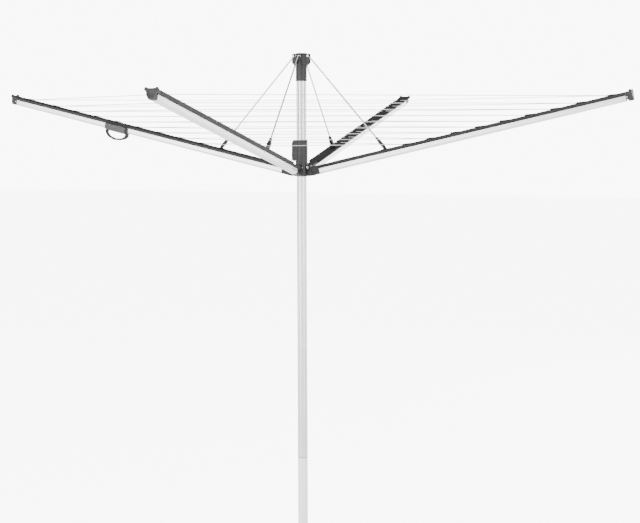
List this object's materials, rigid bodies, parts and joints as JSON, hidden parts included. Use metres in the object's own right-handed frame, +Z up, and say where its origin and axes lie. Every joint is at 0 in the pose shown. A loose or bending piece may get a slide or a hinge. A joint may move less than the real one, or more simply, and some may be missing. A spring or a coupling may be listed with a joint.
{
  "type": "rotary clothesline",
  "caption": "Folding rotary clothesline: fluted mast turning in a ground tube, sliding hub with folding arms and stay struts, and square runs of line between the arms.",
  "frame": {"origin": "centre of the foot plug's flat bottom face, on the mast's axis", "axes": "+Z up along the mast, +X out along the right arm, +Y along the back arm"},
  "size_m": [2.588, 2.588, 1.99],
  "materials": {
    "mast_aluminium": "anodised, satin",
    "arm_aluminium": "anodised, satin",
    "ground_tube": "pale powder coat",
    "hub_plastic": "moulded, satin",
    "cover_plastic": "moulded, fine grain",
    "dark_plastic": "moulded, satin",
    "steel": "bright zinc",
    "bush_plastic": "smooth acetal",
    "line_cord": "plastic-coated cord"
  },
  "bodies": {
    "ground": {"ground_tube": "ground_tube", "foot_plug": "dark_plastic", "ground_bush": "dark_plastic", "thrust_pad": "bush_plastic"},
    "mast": {"mast_tube": "mast_aluminium", "mast_spigot": "steel", "crown_sleeve": "hub_plastic", "crown_head": "hub_plastic", "crown_cap": "dark_plastic"},
    "hub": {"hub_body": "hub_plastic", "hub_bush_upper": "bush_plastic", "hub_bush_lower": "bush_plastic", "latch_housing": "hub_plastic", "button_spring": "steel", "hinge_pin_right": "steel", "hinge_pin_back": "steel", "hinge_pin_left": "steel", "hinge_pin_front": "steel"},
    "release_button": {"release_button": "dark_plastic"},
    "arm_right": {"arm_root_right": "dark_plastic", "arm_channel_right": "arm_aluminium", "arm_cover_right": "cover_plastic", "end_cap_right": "hub_plastic", "foot_bracket_right": "cover_plastic", "foot_pin_right": "dark_plastic", "line_set_right": "line_cord"},
    "strut_right": {"strut_fork_right": "dark_plastic", "strut_rod_right": "steel"},
    "arm_back": {"arm_root_back": "dark_plastic", "arm_channel_back": "arm_aluminium", "arm_cover_back": "cover_plastic", "end_cap_back": "hub_plastic", "foot_bracket_back": "cover_plastic", "foot_pin_back": "dark_plastic", "line_set_back": "line_cord"},
    "strut_back": {"strut_fork_back": "dark_plastic", "strut_rod_back": "steel"},
    "arm_left": {"arm_root_left": "dark_plastic", "arm_channel_left": "arm_aluminium", "arm_cover_left": "cover_plastic", "end_cap_left": "hub_plastic", "foot_bracket_left": "cover_plastic", "foot_pin_left": "dark_plastic", "line_set_left": "line_cord", "handle_base": "dark_plastic", "handle_loop": "dark_plastic"},
    "strut_left": {"strut_fork_left": "dark_plastic", "strut_rod_left": "steel"},
    "arm_front": {"arm_root_front": "dark_plastic", "arm_channel_front": "arm_aluminium", "arm_cover_front": "cover_plastic", "end_cap_front": "hub_plastic", "foot_bracket_front": "cover_plastic", "foot_pin_front": "dark_plastic", "line_set_front": "line_cord"},
    "strut_front": {"strut_fork_front": "dark_plastic", "strut_rod_front": "steel"}
  },
  "joints": [
    {"name": "mast_spin", "type": "hinge", "parent": "ground", "child": "mast", "pos_m": [0, 0, 0.401], "axis": [0, 0, 1], "continuous": true},
    {"name": "hub_slide", "type": "slide", "parent": "mast", "child": "hub", "axis": [0, 0, -1], "range_m": [0, 0.3616], "deforming": ["line_set_right", "line_set_back", "line_set_left", "line_set_front"]},
    {"name": "button_press", "type": "slide", "parent": "hub", "child": "release_button", "axis": [0.7071, 0.7071, 0], "range_m": [0, 0.004], "stiffness_N_per_m": 500, "springref_m": -0.002, "deforming": ["button_spring"]},
    {"name": "arm_right_fold", "type": "hinge", "parent": "hub", "child": "arm_right", "pos_m": [0.029, 0, 1.547], "axis": [0, -1, 0], "range_deg": [0, 74]},
    {"name": "strut_right_swing", "type": "hinge", "parent": "arm_right", "child": "strut_right", "pos_m": [0.34153, 0, 1.62474], "axis": [0, 1, 0], "range_deg": [0, 114.11]},
    {"name": "arm_back_fold", "type": "hinge", "parent": "hub", "child": "arm_back", "pos_m": [0, 0.029, 1.547], "axis": [1, 0, 0], "range_deg": [0, 74]},
    {"name": "strut_back_swing", "type": "hinge", "parent": "arm_back", "child": "strut_back", "pos_m": [0, 0.34153, 1.62474], "axis": [-1, 0, 0], "range_deg": [0, 114.11]},
    {"name": "arm_left_fold", "type": "hinge", "parent": "hub", "child": "arm_left", "pos_m": [-0.029, 0, 1.547], "axis": [0, 1, 0], "range_deg": [0, 74]},
    {"name": "strut_left_swing", "type": "hinge", "parent": "arm_left", "child": "strut_left", "pos_m": [-0.34153, 0, 1.62474], "axis": [0, -1, 0], "range_deg": [0, 114.11]},
    {"name": "arm_front_fold", "type": "hinge", "parent": "hub", "child": "arm_front", "pos_m": [0, -0.029, 1.547], "axis": [-1, 0, 0], "range_deg": [0, 74]},
    {"name": "strut_front_swing", "type": "hinge", "parent": "arm_front", "child": "strut_front", "pos_m": [0, -0.34153, 1.62474], "axis": [1, 0, 0], "range_deg": [0, 114.11]}
  ],
  "couplings": [
    {"joint": "arm_right_fold", "follows": "hub_slide", "rad_per_m": 3.5715},
    {"joint": "strut_right_swing", "follows": "hub_slide", "rad_per_m": 5.507},
    {"joint": "arm_back_fold", "follows": "hub_slide", "rad_per_m": 3.5715},
    {"joint": "strut_back_swing", "follows": "hub_slide", "rad_per_m": 5.507},
    {"joint": "arm_left_fold", "follows": "hub_slide", "rad_per_m": 3.5715},
    {"joint": "strut_left_swing", "follows": "hub_slide", "rad_per_m": 5.507},
    {"joint": "arm_front_fold", "follows": "hub_slide", "rad_per_m": 3.5715},
    {"joint": "strut_front_swing", "follows": "hub_slide", "rad_per_m": 5.507}
  ]
}
